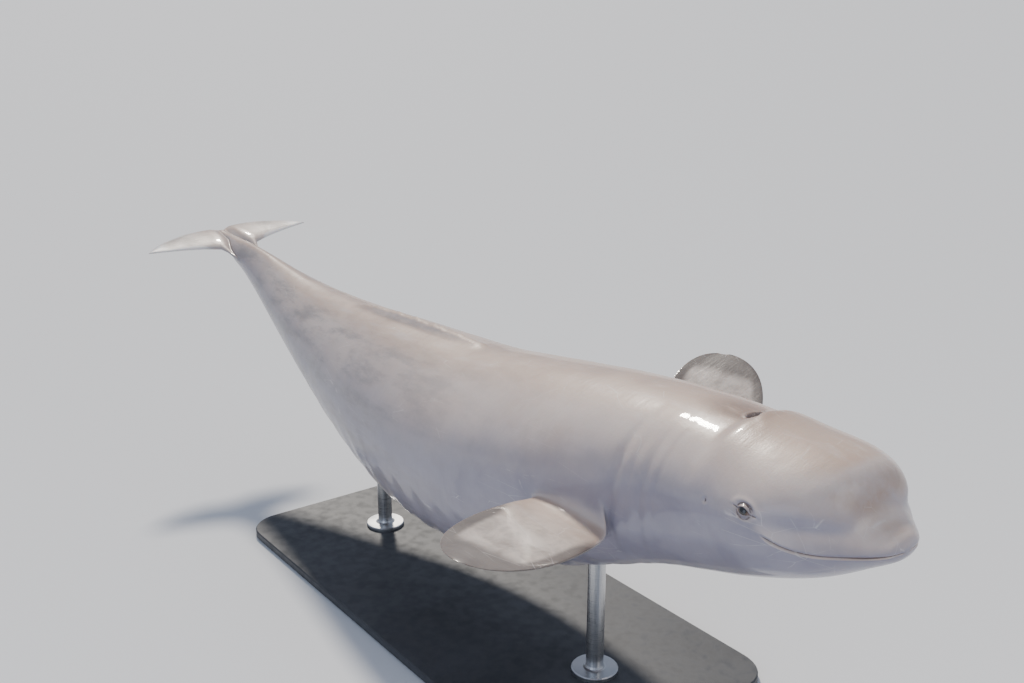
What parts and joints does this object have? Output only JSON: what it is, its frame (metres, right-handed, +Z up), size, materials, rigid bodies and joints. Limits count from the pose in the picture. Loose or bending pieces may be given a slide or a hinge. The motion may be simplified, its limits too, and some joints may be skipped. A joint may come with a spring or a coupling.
{
  "type": "beluga whale",
  "caption": "Still, life-size beluga whale with long low melon, blowhole, low back ridge, broad curled flippers and flukes, held level on a flat base by short rods.",
  "frame": {"origin": "centre of the stand base's underside, on the floor", "axes": "+X towards the whale's snout, +Y towards its left side, +Z up"},
  "size_m": [3.8681, 1.3947, 1.0871],
  "materials": {
    "skin_body": "smooth wet ivory skin, pinkish grey, satin to glossy",
    "skin_melon": "smooth wet skin, warm ivory with faint tan smudges",
    "skin_jaw": "smooth wet skin, cool pale grey",
    "skin_fin": "smooth wet skin, pale grey with darker edges",
    "eye": "wet, very glossy, near black brown",
    "stand_base": "satin charcoal paint",
    "stand_rod": "brushed steel"
  },
  "bodies": {
    "root": {"melon": "skin_melon", "head": "skin_body", "lower_jaw": "skin_jaw", "eye_left": "eye", "eye_right": "eye", "neck": "skin_body", "chest": "skin_body", "trunk": "skin_body", "loin": "skin_body", "tail_stock": "skin_body", "dorsal_ridge": "skin_body", "flipper_left": "skin_fin", "flipper_right": "skin_fin", "fluke_left": "skin_fin", "fluke_right": "skin_fin", "stand_base": "stand_base", "stand_rod_front": "stand_rod", "stand_rod_rear": "stand_rod"}
  },
  "joints": []
}
